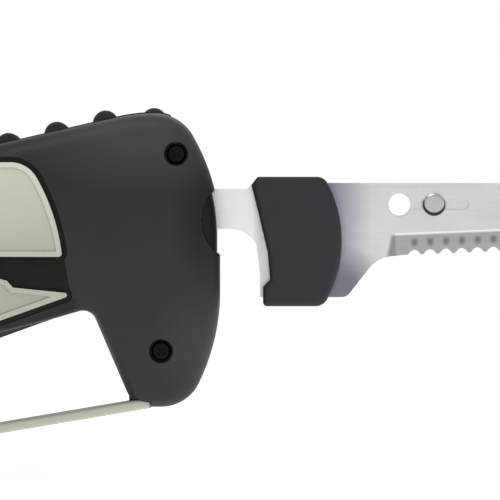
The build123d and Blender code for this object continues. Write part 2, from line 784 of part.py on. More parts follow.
# ---------------------------------------------------------------- motor
def motor_can():
    can = rod_x(*CAN_X, CAN_R) - rod_x(CAN_X[0] - 1, CAN_X[1] - CAN_T, CAN_R - CAN_T)
    can = can - rod_x(CAN_X[1] - 5, CAN_X[1] + 5, 5.0)
    for side in (-1, 1):
        can = can - block((-94, -86), (-4, 4), (MOTOR_Z + side * 18 - 4, MOTOR_Z + side * 18 + 4))
    return can


def motor_front_bush():
    bush = rod_x(CAN_X[1] - CAN_T - 1.5, CAN_X[1] + 2.5, 5.0)
    return bush - rod_x(-100, -60, SHAFT_R + RUN)


def motor_end_cap():
    cap = rod_x(CAN_X[0] - 2.2, CAN_X[0], CAN_R)
    cap = cap + rod_x(CAN_X[0], CAN_X[0] + 3, CAN_R - CAN_T - 0.05)
    for side in (-1, 1):
        cap = cap + block((CAN_X[0] + 1, CAN_X[0] + 13), sorted((side * 5.6, side * 13.5)),
                          (MOTOR_Z - 3.4, MOTOR_Z + 3.4))
        cap = cap - block((CAN_X[0] + 4, CAN_X[0] + 11), sorted((side * 5.0, side * 12.5)),
                          (MOTOR_Z - 2.3, MOTOR_Z + 2.3))
    return cap - rod_x(-150, -120, 4.0)


def motor_rear_bush():
    return rod_x(CAN_X[0] - 2.6, CAN_X[0] + 3.0, 4.0) - rod_x(-150, -120, SHAFT_R + RUN)


def motor_magnets():
    """Two curved ferrite segments inside the can."""
    ring = rod_x(-119, -83, CAN_R - CAN_T - 0.05) - rod_x(-125, -70, 13.2)
    return Compound(children=[(ring & block((-120, -80), (-9, 9), z)).solids()[0]
                              for z in ((MOTOR_Z, MOTOR_Z + 20), (MOTOR_Z - 20, MOTOR_Z))])


COMMUTATOR_X = (-132.0, -122.0)
COMMUTATOR_R = 4.6


def carbon_brushes():
    brushes = []
    for side in (-1, 1):
        y = sorted((side * (COMMUTATOR_R + 0.08), side * 11.5))
        brush = block((-130.5, -124.5), y, (MOTOR_Z - 2.1, MOTOR_Z + 2.1))
        brushes.append(brush - rod_x(-140, -120, COMMUTATOR_R + 0.08))
    return Compound(children=[b.solids()[0] for b in brushes])


def motor_shaft():
    return rod_x(FAN_X[0] - 1.0, -43.6, SHAFT_R)


ARMATURE_X = (-118.0, -86.0)
SLOTS = 5


def armature_core():
    core = rod_x(*ARMATURE_X, 12.6)
    for i in range(SLOTS):
        slot = rod_x(ARMATURE_X[0] - 1, ARMATURE_X[1] + 1, 3.0, y=8.4, z=0)
        mouth = block((ARMATURE_X[0] - 1, ARMATURE_X[1] + 1), (8.4, 14), (-0.9, 0.9))
        core = core - Pos(0, 0, MOTOR_Z) * Rot(X=360 * i / SLOTS) * (slot + mouth)
    return core - rod_x(-130, -70, SHAFT_R)


def armature_windings():
    coils = []
    for i in range(SLOTS):
        coil = rod_x(*ARMATURE_X, 2.9, y=8.4, z=0)
        coils.append(Pos(0, 0, MOTOR_Z) * Rot(X=360 * i / SLOTS) * coil)
    for x in ((ARMATURE_X[0] - 3.6, ARMATURE_X[0]), (ARMATURE_X[1], ARMATURE_X[1] + 3.6)):
        coils.append(rod_x(*x, 11.2) - rod_x(x[0] - 1, x[1] + 1, 3.6))
    joined = coils[0]
    for coil in coils[1:]:
        joined = joined + coil
    return joined


def commutator():
    drum = rod_x(*COMMUTATOR_X, COMMUTATOR_R)
    for i in range(SLOTS):
        cut = block((COMMUTATOR_X[0] - 1, COMMUTATOR_X[1] + 1), (3.6, 6), (-0.25, 0.25))
        drum = drum - Pos(0, 0, MOTOR_Z) * Rot(X=360 * (i + 0.5) / SLOTS) * cut
    return drum - rod_x(-140, -110, SHAFT_R)


FAN_BLADES = 9


def cooling_fan():
    fan = rod_x(*FAN_X, 4.2) + rod_x(FAN_X[1] - 1.0, FAN_X[1], 15.5)
    for i in range(FAN_BLADES):
        vane = block((FAN_X[0], FAN_X[1] - 0.5), (3.0, 15.2), (-0.5, 0.5))
        fan = fan + Pos(0, 0, MOTOR_Z) * Rot(X=360 * i / FAN_BLADES) * vane
    return fan - rod_x(-160, -130, SHAFT_R)


# ---------------------------------------------------------------- trigger, switch, lock
def trigger_outline():
    """Long paddle under the grip, with an eye for its pin at the front."""
    outer = Pen((-43.3, -30.6), 180)
    outer.to((-65.7, -38.7))
    outer.to((-80.5, -43.9))
    outer.arc(62, -17)
    outer.arc(4.6, -90)
    outer.to((-103.4, -39.4))
    outer.to((-78.6, -37.0))
    outer.to((-74.0, -34.0))
    outer.to((-53.0, -33.4))
    outer.to((-49.6, -28.4))
    outer.to((-43.3, -25.6))
    outer.to((-43.3, -30.6))
    return side_face(outer.edges)


def trigger():
    paddle = across(trigger_outline(), -TRIGGER_HALF, TRIGGER_HALF)
    eye = rod_y(*TRIGGER_PIN, 3.2, -TRIGGER_HALF, TRIGGER_HALF)
    low = [e for e in paddle.edges() if e.center().Z < -40.5 and abs(abs(e.center().Y) - TRIGGER_HALF) < 0.01]
    paddle = fillet(low, 1.6)
    body = paddle + eye
    body = body - block((-54, -41), (-4.2, 4.2), (-30.0, -20))
    return body - rod_y(*TRIGGER_PIN, PIN_R + RUN, -20, 20)


def trigger_pin():
    return rod_y(*TRIGGER_PIN, PIN_R, -13.8, 13.8)


def straight_wire(start, end, radius):
    line = Line(start, end)
    return sweep(Plane(origin=start, z_dir=line % 0) * Circle(radius), path=line)


def trigger_spring():
    """Torsion spring round the trigger pin: coil, one leg up to the drive frame, one down on the paddle."""
    wire_r = 0.4
    coil_r = PIN_R + 0.75
    height = 4.025
    x, z = TRIGGER_PIN
    path = Helix(pitch=1.15, height=height, radius=coil_r, center=(0, 0, 0), direction=(0, 0, 1))
    plane = Plane(origin=path @ 0, z_dir=path % 0)
    coil = sweep(plane * Circle(wire_r), path=path, is_frenet=True)
    coil = Pos(x, height / 2, z) * Rot(X=90) * coil
    legs = ((x + coil_r, height / 2, x + coil_r, -22.4), (x - coil_r, -height / 2, x - coil_r - 4.4, -29.5))
    for x0, y, x1, z1 in legs:
        coil = coil + straight_wire((x0, y, z), (x1, y, z1), wire_r) + Pos(x0, y, z) * Sphere(wire_r * 1.1)
    return coil


def switch_body():
    body = block(SWITCH_X, (-SWITCH_HALF_T, SWITCH_HALF_T), SWITCH_Z)
    body = fillet(body.edges().filter_by(Axis.Y), 0.8)
    for x, z in SWITCH_HOLES:
        body = body - rod_y(x, z, 1.2, -5, 5)
    return body - block((-71.1, -68.9), (-1.1, 1.1), (-32, -27.5))


def switch_plunger():
    return block((-71.0, -69.0), (-1.0, 1.0), (-33.5, -29.5))


def switch_terminals():
    tabs = [block((x - 1.2, x + 1.2), (-8.0, -SWITCH_HALF_T), (-23.9, -23.3)) for x in (-74.0, -67.0, -60.5)]
    return Compound(children=[t.solids()[0] for t in tabs])


def lock_bolt():
    """Push-through safety bolt under the motor, with a waist that the trigger's tail passes."""
    reach = skin_y(*LOCK_AT)
    bolt = rod_y(*LOCK_AT, LOCK_R, -reach - LOCK_TRAVEL / 2, reach - LOCK_TRAVEL / 2)
    bolt = fillet(bolt.edges().filter_by(GeomType.CIRCLE), 0.6)
    waist = rod_y(*LOCK_AT, LOCK_R + 1, -8, 8) - rod_y(*LOCK_AT, 1.5, -9, 9)
    return bolt - waist


# ---------------------------------------------------------------- blade release
def button_profile(grow=0.0):
    width = BUTTON_X[1] - BUTTON_X[0] + 2 * grow
    return RectangleRounded(width, 2 * BUTTON_HALF_Y + 2 * grow, 3.0 + grow)


def button_shaft(grow=0.0):
    """The well that the release button slides in."""
    centre = (BUTTON_X[0] + BUTTON_X[1]) / 2
    return extrude(Pos(centre, 0, 13.8) * button_profile(grow), 40)


def release_button():
    centre = (BUTTON_X[0] + BUTTON_X[1]) / 2
    cap = extrude(Pos(centre, 0, 24.0) * button_profile(), 20) & whole(PAD_TOP)
    cap = max(cap.solids(), key=lambda s: s.volume)
    skirt = block((centre - 4.6, centre + 4.6), (-7.2, 7.2), SKIRT_Z)
    stem = block((centre - 1.6, centre + 1.6), (-3.0, 3.0), (17.2, SKIRT_Z[0]))
    return cap + skirt + stem


def release_fork():
    """Bridge under the button, with a leg down each side of the carriers."""
    centre = (BUTTON_X[0] + BUTTON_X[1]) / 2
    bridge = block((centre - 1.6, centre + 1.6), (-8.0, 8.0), (15.0, 17.2))
    for side in (-1, 1):
        leg = Polyline((side * 6.7, 2.7), (side * 6.78, 2.7), (side * 7.3, 4.7), (side * 7.6, 8.0),
                       (side * 8.0, 15.2), (side * 6.7, 15.2), close=True)
        face = Face(Wire(leg.edges())).moved(Location(Plane(origin=(centre - 1.5, 0, 0), x_dir=(0, 1, 0),
                                                            z_dir=(1, 0, 0))))
        bridge = bridge + extrude(face, 2.2, dir=(1, 0, 0))
    return bridge


def release_spring():
    """Coil between the housings' shelf and the button's skirt."""
    centre = (BUTTON_X[0] + BUTTON_X[1]) / 2
    wire_r = 0.3
    height = SKIRT_Z[0] - SHELF_Z[1] - 2 * wire_r - 0.1
    path = Helix(pitch=1.4, height=height, radius=4.2, center=(0, 0, 0), direction=(0, 0, 1))
    plane = Plane(origin=path @ 0, z_dir=path % 0)
    coil = sweep(plane * Circle(wire_r), path=path, is_frenet=True)
    return Pos(centre, 0, SHELF_Z[1] + wire_r + 0.05) * coil


# ---------------------------------------------------------------- electrics at the back
BOARD_X = (-177.0, -151.0)
BOARD_Z = (-35.2, -33.6)


def control_board():
    board = block(BOARD_X, (-12, 12), BOARD_Z)
    return board - rod_z(BOARD_X[0] + 3, -9, 1.2, -50, -20) - rod_z(BOARD_X[0] + 3, 9, 1.2, -50, -20)


def filter_capacitor():
    body = block((-168.5, -156), (-11, -4), (BOARD_Z[1], BOARD_Z[1] + 12))
    return fillet(body.edges().filter_by(Axis.Z), 0.8)


def bridge_rectifier():
    body = block((-167, -153), (4.0, 7.4), (BOARD_Z[1] + 0.8, BOARD_Z[1] + 11))
    legs = [block((x - 0.4, x + 0.4), (5.4, 6.0), (BOARD_Z[1], BOARD_Z[1] + 1)) for x in (-165, -161.6, -158.3, -155)]
    return body + legs


def choke_coil():
    ring = Pos(-162.0, 0, BOARD_Z[1] + 1.2) * Torus(2.3, 1.35)
    return ring & block((-190, -150), (-20, 20), (BOARD_Z[1], 0))


def wire_along(points, radius, bends):
    path = FilletPolyline(*points, radius=bends)
    plane = Plane(origin=path @ 0, z_dir=path % 0)
    return sweep(plane * Circle(radius), path=path)


LEAD_R = 0.75


def switch_leads():
    """Two leads from the switch back past the motor's right side to the board."""
    top = BOARD_Z[1] + 0.03
    lower = [(-74.0, -8.06, -23.6), (-74.0, -19.1, -23.6), (-140.0, -19.1, -23.6), (-149.0, -15.0, -26.0),
             (-153.6, -8.0, -29.5), (-153.6, -8.0, top)]
    upper = [(-67.0, -8.06, -23.6), (-67.0, -19.1, -22.4), (-71.5, -19.1, -21.4), (-140.0, -19.1, -21.4),
             (-149.5, -15.5, -23.5), (-153.6, -4.8, -27.0), (-153.6, -4.8, top)]
    return Compound(children=[wire_along(points, LEAD_R, 1.2).solids()[0] for points in (lower, upper)])


def inlet_leads():
    """Short leads from the inlet's pins down to the board."""
    leads = []
    for side in (-1, 1):
        start = (inlet_plane(-1.0 - INLET_DEPTH - 0.5) * Pos(0, side * INLET_PIN_GAP / 2)).position
        points = [(start.X, start.Y, start.Z), (start.X + 3.0, start.Y, start.Z + 0.5),
                  (-170.8, side * 8.8, -29.8), (-170.8, side * 8.8, BOARD_Z[1] + 0.03)]
        leads.append(wire_along(points, LEAD_R, 0.9))
    return Compound(children=[w.solids()[0] for w in leads])


# ---------------------------------------------------------------- build all
BLADE = blade_outline()
COLLAR = collar_outline()


def build():
    shell = clamshell()
    keep("housing_right", housing(shell, -1))
    keep("housing_left", housing(shell, 1))
    panel = side_panel()
    keep("side_panel_right", panel)
    keep("side_panel_left", left_of(panel))
    rim = panel_rim()
    keep("panel_rim_right", rim)
    keep("panel_rim_left", left_of(rim))
    inlay = grip_inlay()
    keep("grip_inlay_right", inlay)
    keep("grip_inlay_left", left_of(inlay))
    keep("thumb_grip", thumb_grip())
    keep("nose_bezel", nose_bezel())
    keep("knuckle_bow", bow())
    keep("bow_screw", bow_screw())
    keep("housing_screws", Compound(children=[housing_screw(x, z).solids()[0] for x, z in SCREWS]))
    keep("inlet_socket", inlet_socket())
    keep("inlet_pins", inlet_pins())
    keep("blade_right", right_blade())
    keep("blade_left", left_blade())
    keep("blade_rivet", blade_rivet())
    collar = right_collar()
    keep("blade_collar_right", collar)
    keep("blade_collar_left", left_of(collar))
    carrier = blade_carrier()
    keep("blade_carrier_right", carrier)
    keep("blade_carrier_left", left_of(carrier))
    latch = tang_latch()
    keep("tang_latch_right", latch)
    keep("tang_latch_left", left_of(latch))
    keep("crank_wheel", crank_wheel())
    keep("crank_pins", crank_pins())
    keep("drive_worm", worm())
    keep("wheel_axle", wheel_axle())
    frame = drive_frame()
    keep("drive_frame_right", frame)
    keep("drive_frame_left", left_of(frame))
    keep("front_bearing", front_bearing())
    keep("motor_can", motor_can())
    keep("motor_front_bush", motor_front_bush())
    keep("motor_rear_bush", motor_rear_bush())
    keep("motor_end_cap", motor_end_cap())
    keep("motor_magnets", motor_magnets())
    keep("carbon_brushes", carbon_brushes())
    keep("motor_shaft", motor_shaft())
    keep("armature_core", armature_core())
    keep("armature_windings", armature_windings())
    keep("commutator", commutator())
    keep("cooling_fan", cooling_fan())
    keep("trigger_paddle", trigger())
    keep("trigger_pin", trigger_pin())
    keep("trigger_spring", trigger_spring())
    keep("switch_body", switch_body())
    keep("switch_plunger", switch_plunger())
    keep("switch_terminals", switch_terminals())
    keep("lock_bolt", lock_bolt())
    keep("release_button", release_button())
    keep("release_fork", release_fork())
    keep("release_spring", release_spring())
    keep("control_board", control_board())
    keep("filter_capacitor", filter_capacitor())
    keep("bridge_rectifier", bridge_rectifier())
    keep("choke_coil", choke_coil())
    keep("switch_leads", switch_leads())
    keep("inlet_leads", inlet_leads())


if __name__ == "__main__":
    os.makedirs("parts", exist_ok=True)
    build()
    for name, shape in PARTS.items():
        export_step(shape, f"parts/{name}.step")
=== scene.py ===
import json
import math

import bpy
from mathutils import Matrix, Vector


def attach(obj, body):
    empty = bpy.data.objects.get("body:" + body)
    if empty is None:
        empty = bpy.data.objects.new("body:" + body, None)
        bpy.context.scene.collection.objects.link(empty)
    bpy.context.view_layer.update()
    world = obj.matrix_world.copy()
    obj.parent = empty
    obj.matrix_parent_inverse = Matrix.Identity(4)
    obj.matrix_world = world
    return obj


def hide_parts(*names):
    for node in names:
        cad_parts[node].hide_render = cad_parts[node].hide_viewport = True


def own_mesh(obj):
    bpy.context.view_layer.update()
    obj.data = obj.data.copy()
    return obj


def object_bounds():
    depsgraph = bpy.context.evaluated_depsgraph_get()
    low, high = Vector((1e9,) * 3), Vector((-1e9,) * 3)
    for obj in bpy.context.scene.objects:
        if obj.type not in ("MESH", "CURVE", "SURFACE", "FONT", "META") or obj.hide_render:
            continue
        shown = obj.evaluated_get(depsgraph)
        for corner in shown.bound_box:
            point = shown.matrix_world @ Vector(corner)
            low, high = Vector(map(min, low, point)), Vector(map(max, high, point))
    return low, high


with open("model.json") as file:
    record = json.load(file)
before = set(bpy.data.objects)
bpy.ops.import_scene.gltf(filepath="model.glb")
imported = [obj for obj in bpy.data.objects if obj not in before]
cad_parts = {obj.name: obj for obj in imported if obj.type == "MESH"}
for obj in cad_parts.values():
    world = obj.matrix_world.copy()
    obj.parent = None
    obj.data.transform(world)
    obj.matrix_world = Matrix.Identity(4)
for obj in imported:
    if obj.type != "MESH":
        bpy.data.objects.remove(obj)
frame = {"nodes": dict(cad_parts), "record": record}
nodes = frame["nodes"]
cad_low, cad_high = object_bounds()

MM = 1000.0                          # millimetres in a metre; paint functions give places in mm
MIX_A, MIX_B, MIX_RESULT = 6, 7, 2   # colour sockets of a Mix node
CORE = 0.25                          # share of a spot's reach over which it keeps its full strength


# ---------------------------------------------------------------- small helpers
def srgb(r, g, b):
    """Linear colour, with alpha, from 0 to 255 screen values."""
    out = []
    for v in (r, g, b):
        v /= 255
        out.append(v / 12.92 if v <= 0.04045 else ((v + 0.055) / 1.055) ** 2.4)
    return (*out, 1.0)


def scaled(colour, factor):
    return (*(min(1.0, c * factor) for c in colour[:3]), 1.0)


class Nodes:
    """A material's node tree, with short calls for the nodes used here."""

    def __init__(self, name):
        self.material = bpy.data.materials.new(name)
        self.material.use_nodes = True
        self.tree = self.material.node_tree
        self.shader = self.tree.nodes["Principled BSDF"]
        self.place = self.tree.nodes.new("ShaderNodeTexCoord").outputs["Object"]

    def link(self, a, b):
        self.tree.links.new(a, b)

    def add(self, kind, **values):
        node = self.tree.nodes.new(kind)
        for key, value in values.items():
            setattr(node, key, value)
        return node

    def mapped(self, scale, offset=(0, 0, 0)):
        node = self.add("ShaderNodeMapping")
        node.inputs["Scale"].default_value = scale
        node.inputs["Location"].default_value = offset
        self.link(self.place, node.inputs["Vector"])
        return node.outputs["Vector"]

    def noise(self, scale, detail=3.0, rough=0.5, vector=None):
        node = self.add("ShaderNodeTexNoise")
        node.inputs["Scale"].default_value = scale
        node.inputs["Detail"].default_value = detail
        node.inputs["Roughness"].default_value = rough
        self.link(vector if vector is not None else self.place, node.inputs["Vector"])
        return node.outputs["Fac"]

    def cells(self, scale, feature="F1", vector=None):
        node = self.add("ShaderNodeTexVoronoi", feature=feature)
        node.inputs["Scale"].default_value = scale
        self.link(vector if vector is not None else self.place, node.inputs["Vector"])
        return node.outputs["Distance"]

    def remap(self, value, low, high, to_low, to_high):
        node = self.add("ShaderNodeMapRange")
        node.inputs["From Min"].default_value = low
        node.inputs["From Max"].default_value = high
        node.inputs["To Min"].default_value = to_low
        node.inputs["To Max"].default_value = to_high
        self.link(value, node.inputs["Value"])
        return node.outputs["Result"]

    def maths(self, operation, a, b):
        node = self.add("ShaderNodeMath", operation=operation)
        for socket, value in zip(node.inputs, (a, b)):
            if isinstance(value, (int, float)):
                socket.default_value = value
            else:
                self.link(value, socket)
        return node.outputs["Value"]

    def blend(self, factor, a, b):
        """Colour between a and b."""
        node = self.add("ShaderNodeMix", data_type="RGBA")
        self.link(factor, node.inputs["Factor"])
        for socket, value in ((node.inputs[MIX_A], a), (node.inputs[MIX_B], b)):
            if isinstance(value, tuple):
                socket.default_value = value
            else:
                self.link(value, socket)
        return node.outputs[MIX_RESULT]

    def bump(self, height, depth, strength=1.0, under=None):
        node = self.add("ShaderNodeBump")
        node.inputs["Strength"].default_value = strength
        node.inputs["Distance"].default_value = depth
        self.link(height, node.inputs["Height"])
        if under is not None:
            self.link(under, node.inputs["Normal"])
        return node.outputs["Normal"]

    def axis(self, name):
        node = self.add("ShaderNodeSeparateXYZ")
        self.link(self.place, node.inputs["Vector"])
        return node.outputs[name]

    def beyond(self, point, direction, soft):
        """0 up to the line that crosses point (x, z in mm), rising to 1 at soft mm past it along direction."""
        dot = self.add("ShaderNodeVectorMath", operation="DOT_PRODUCT")
        self.link(self.place, dot.inputs[0])
        dot.inputs[1].default_value = (direction[0] * MM, 0, direction[1] * MM)
        start = point[0] * direction[0] + point[1] * direction[1]
        return self.remap(dot.outputs["Value"], start, start + soft, 0, 1)

    def near(self, point, reach):
        """1 round the point (x, z in mm), fading to 0 on the ellipse whose half axes are reach."""
        scale = (MM / reach[0], 0, MM / reach[1])
        place = self.mapped(scale, offset=(-point[0] / reach[0], 0, -point[1] / reach[1]))
        length = self.add("ShaderNodeVectorMath", operation="LENGTH")
        self.link(place, length.inputs[0])
        return self.remap(length.outputs["Value"], CORE, 1.0, 1, 0)

    def times(self, first, *others):
        """Product of masks and numbers."""
        for other in others:
            first = self.maths("MULTIPLY", first, other)
        return first

    def uses(self, colour=None, rough=None, normal=None):
        for socket, value in (("Base Color", colour), ("Roughness", rough), ("Normal", normal)):
            if value is None:
                continue
            if isinstance(value, (tuple, float)):
                self.shader.inputs[socket].default_value = value
            else:
                self.link(value, self.shader.inputs[socket])

    def fixed(self, **values):
        for key, value in values.items():
            self.shader.inputs[key.replace("_", " ")].default_value = value
        return self.material


# ---------------------------------------------------------------- materials
def moulded(name, colour, rough=0.45, grain=2600.0, grain_depth=0.000012, vary=0.10, specular=0.5, paint=None):
    """Moulded plastic: spark-eroded grain, faint flow marks, slight polish where it is handled."""
    m = Nodes(name)
    cloud = m.noise(28.0, 4.0, 0.55)
    tone = m.blend(m.remap(cloud, 0.3, 0.7, 0, 1), scaled(colour, 1 - vary), scaled(colour, 1 + vary))
    if paint:
        tone = paint(m, tone)
    polish = m.remap(m.noise(60.0, 5.0, 0.6), 0.3, 0.7, rough - 0.06, rough + 0.07)
    fine = m.noise(grain, 2.0, 0.6)
    wide = m.noise(35.0, 2.0, 0.5)
    normal = m.bump(fine, grain_depth, 1.0, m.bump(wide, 0.00004, 0.5))
    m.uses(tone, polish, normal)
    return m.fixed(Specular_IOR_Level=specular)


def rubbery(name, colour, grain=1500.0, paint=None):
    """Soft rubber: matt, slightly dusty, with a pebble grain."""
    m = Nodes(name)
    dust = m.remap(m.noise(90.0, 6.0, 0.65), 0.45, 0.75, 0, 1)
    tone = m.blend(dust, colour, scaled(colour, 1.3))
    if paint:
        tone = paint(m, tone)
    pebble = m.cells(grain)
    normal = m.bump(pebble, 0.00003, 0.8, m.bump(m.noise(200.0), 0.00003, 0.4))
    m.uses(tone, m.remap(m.noise(150.0), 0.3, 0.7, 0.6, 0.78), normal)
    return m.fixed(Specular_IOR_Level=0.2)


LAY_STRETCH = {"x": (6, 900, 900), "z": (900, 900, 8), "turned": (700, 60, 60)}
SCRATCH_DEPTH = 0.00001


def steel(name, colour, rough=0.3, lay="x", paint=None):
    """Ground steel: fine lines along one direction, with faint stains."""
    m = Nodes(name)
    lines = m.noise(1.0, 4.0, 0.7, m.mapped(LAY_STRETCH[lay]))
    cloud = m.noise(45.0, 4.0, 0.6)
    tone = m.blend(m.remap(cloud, 0.35, 0.7, 0, 1), colour, scaled(colour, 0.9))
    if paint:
        tone = paint(m, tone)
    shade = m.remap(lines, 0.25, 0.75, rough - 0.07, rough + 0.09)
    m.uses(tone, shade, m.bump(lines, SCRATCH_DEPTH, 0.9))
    return m.fixed(Metallic=1.0)


def cast(name, colour, rough, metal):
    """Sintered or pressed stuff: even, granular."""
    m = Nodes(name)
    specks = m.noise(900.0, 5.0, 0.7)
    tone = m.blend(m.remap(specks, 0.4, 0.65, 0, 1), scaled(colour, 0.75), scaled(colour, 1.2))
    m.uses(tone, m.remap(specks, 0.3, 0.7, rough - 0.1, rough + 0.1), m.bump(specks, 0.00002, 0.8))
    return m.fixed(Metallic=metal)


def stacked(name, colour):
    """Stamped laminations: thin rings along the shaft."""
    m = Nodes(name)
    wave = m.add("ShaderNodeTexWave", bands_direction="X")
    wave.inputs["Scale"].default_value = 320.0
    m.link(m.place, wave.inputs["Vector"])
    lines = wave.outputs["Fac"]
    m.uses(m.blend(lines, scaled(colour, 0.55), colour), 0.42, m.bump(lines, 0.00006, 1.0))
    return m.fixed(Metallic=0.9)


def wound(name, colour):
    """Enamelled wire laid side by side along the shaft."""
    m = Nodes(name)
    lines = m.cells(1.0, vector=m.mapped((140, 1600, 1600)))
    tone = m.blend(m.remap(lines, 0.0, 0.8, 0, 1), colour, scaled(colour, 0.35))
    m.uses(tone, 0.28, m.bump(lines, -0.00015, 1.0))
    return m.fixed(Metallic=0.6, Coat_Weight=0.6)


def laminate(name, colour):
    """Circuit board: glass weave under a green coat, with darker tracks."""
    m = Nodes(name)
    tracks = m.cells(260.0, feature="DISTANCE_TO_EDGE")
    tone = m.blend(m.remap(tracks, 0.02, 0.05, 0, 1), scaled(colour, 1.8), colour)
    weave = m.noise(3000.0, 1.0)
    m.uses(tone, 0.35, m.bump(weave, 0.00001, 0.6))
    return m.fixed()


# ---------------------------------------------------------------- paint that depends on the place, much of it painted shade, highlights and reflections
FORWARD, BACK, UP, DOWN = (1.0, 0.0), (-1.0, 0.0), (0.0, 1.0), (0.0, -1.0)

HEAD = srgb(43, 39, 42)
# painted shade on the head's front; painted highlights low on the guard's front and on the head's top
HEAD_FRONT_SHADE = srgb(10, 8, 9)
HEAD_LOW_HIGHLIGHT = srgb(60, 58, 62)
HEAD_TOP_HIGHLIGHT = srgb(72, 69, 74)
STRIP = srgb(24, 23, 22)
DOWN_AHEAD = (0.33, -0.944)          # down and somewhat forwards
UP_BEHIND = (-0.94, 0.33)            # backwards and somewhat up


def housing_strip_and_painted_light(m, tone):
    """Black strip under the grip's trim; painted shade darkens the head's front, painted highlights lighten its
    top and its lower front.
    """
    below = m.beyond((-45.0, -27.0), DOWN_AHEAD, 0.7)
    behind = m.beyond((-41.5, -29.0), UP_BEHIND, 1.6)
    ahead = m.beyond((-112.0, -38.0), FORWARD, 14.0)
    tone = m.blend(m.times(below, behind, ahead), tone, STRIP)
    tone = m.blend(m.times(m.near((-1.0, -4.0), (14.0, 22.0)), 0.95), tone, HEAD_FRONT_SHADE)
    tone = m.blend(m.times(m.near((-7.0, -40.0), (14.0, 18.0)), 0.6), tone, HEAD_LOW_HIGHLIGHT)
    return m.blend(m.times(m.near((-24.0, 24.0), (36.0, 20.0)), 0.7), tone, HEAD_TOP_HIGHLIGHT)


# painted shade on the panels' lower parts
PANEL_LOW_SHADE = srgb(132, 132, 118)


def sage_painted_shade(m, tone):
    """Painted shade: the panels darken towards the underside."""
    return m.blend(m.times(m.beyond((0.0, 9.0), DOWN, 30.0), 0.5), tone, PANEL_LOW_SHADE)


def inlay_paint(m, tone):
    """The rubber's front end runs out in the head's colour."""
    front = m.beyond((-46.0, -19.0), FORWARD, 2.6)
    level = m.times(m.beyond((-46.0, -16.2), DOWN, 1.0), m.beyond((-46.0, -24.0), UP, 1.0))
    return m.blend(m.times(front, level), tone, HEAD)


# painted highlight on the tang; painted reflection and shade next to the collar and low on the ricasso; painted
# shade on the ground bevel and over the tooth gaps
TANG_HIGHLIGHT = srgb(255, 255, 255)
NEAR_COLLAR_REFLECTION = srgb(150, 152, 170)
RICASSO_SHADE = srgb(132, 131, 142)
BEVEL_SHADE = srgb(160, 158, 160)
HOLLOW_SHADE = srgb(112, 110, 112)
TOOTH_PITCH = 4.74
GULLET_X = 58.62
TO_SPINE = (-0.04, 1.0)              # square to the cutting edge, which rises 2.3 degrees to the tip
TO_EDGE = (0.04, -1.0)


def tooth_hollow_shade(m):
    """Mask of the painted shade, a soft dark spot, over each gap between two teeth."""
    turns = m.maths("MULTIPLY", m.axis("X"), 2 * math.pi * MM / TOOTH_PITCH)
    wave = m.maths("COSINE", m.maths("SUBTRACT", turns, 2 * math.pi * GULLET_X / TOOTH_PITCH), 0)
    row = m.times(m.beyond((60.0, -8.3), TO_EDGE, 1.2), m.beyond((60.0, -11.6), TO_SPINE, 1.2))
    toothed = m.times(m.beyond((56.4, 0.0), FORWARD, 0.2), m.beyond((203.0, 0.0), BACK, 0.2))
    return m.times(m.remap(wave, -0.2, 1.0, 0, 1), row, toothed)


def blade_painted_light(m, tone):
    """Blade: painted highlight, near white, on the tang; painted reflection and shade, bluish, next to the
    collar; painted shade, grey, on the ground bevel and over the tooth gaps.
    """
    tone = m.blend(m.beyond((12.0, 0.0), BACK, 2.0), tone, TANG_HIGHLIGHT)
    ahead_of_tang = m.beyond((20.0, 0.0), FORWARD, 2.0)
    tone = m.blend(m.times(m.beyond((46.0, 0.0), BACK, 12.0), ahead_of_tang), tone, NEAR_COLLAR_REFLECTION)
    tone = m.blend(m.times(m.near((38.0, -24.0), (13.0, 13.0)), ahead_of_tang), tone, RICASSO_SHADE)
    ground = m.times(m.beyond((60.0, -7.35), TO_EDGE, 0.5), m.beyond((52.8, 0.0), (1.0, -0.2), 1.0))
    return m.blend(tooth_hollow_shade(m), m.blend(ground, tone, BEVEL_SHADE), HOLLOW_SHADE)


RIVET_SHADE = srgb(58, 56, 58)


def rivet_paint(m, tone):
    """Rivet head: bright dome, with its rim in shadow below."""
    dome = m.near((64.5, 1.9), (3.9, 3.9))
    rim_only = m.remap(dome, 0.28, 0.36, 1, 0)
    low = m.beyond((64.5, 3.2), DOWN, 0.8)
    return m.blend(m.times(rim_only, low), tone, RIVET_SHADE)


# ---------------------------------------------------------------- finishes
charcoal = moulded("charcoal_plastic", HEAD, rough=0.5, grain=2200.0, grain_depth=0.00003, specular=0.3,
                   paint=housing_strip_and_painted_light)
sage = moulded("sage_plastic", srgb(204, 205, 188), rough=0.38, grain=3200.0, grain_depth=0.00001, vary=0.03,
               paint=sage_painted_shade)
rim = moulded("rim_plastic", srgb(216, 218, 203), rough=0.26, grain=3200.0, grain_depth=0.000006, vary=0.02,
              paint=sage_painted_shade)
pale = moulded("bow_plastic", srgb(192, 193, 177), rough=0.4, grain=3000.0, grain_depth=0.00001, vary=0.03)
black_rubber = rubbery("black_rubber", srgb(20, 19, 18), paint=inlay_paint)
soft_charcoal = rubbery("charcoal_rubber", srgb(60, 57, 60), grain=1300.0)
black = moulded("black_plastic", srgb(34, 31, 33), rough=0.46, grain=2400.0, grain_depth=0.00002, specular=0.45)
collar_black = moulded("collar_plastic", srgb(45, 40, 45), rough=0.5, grain=2200.0, grain_depth=0.00003,
                       specular=0.32)
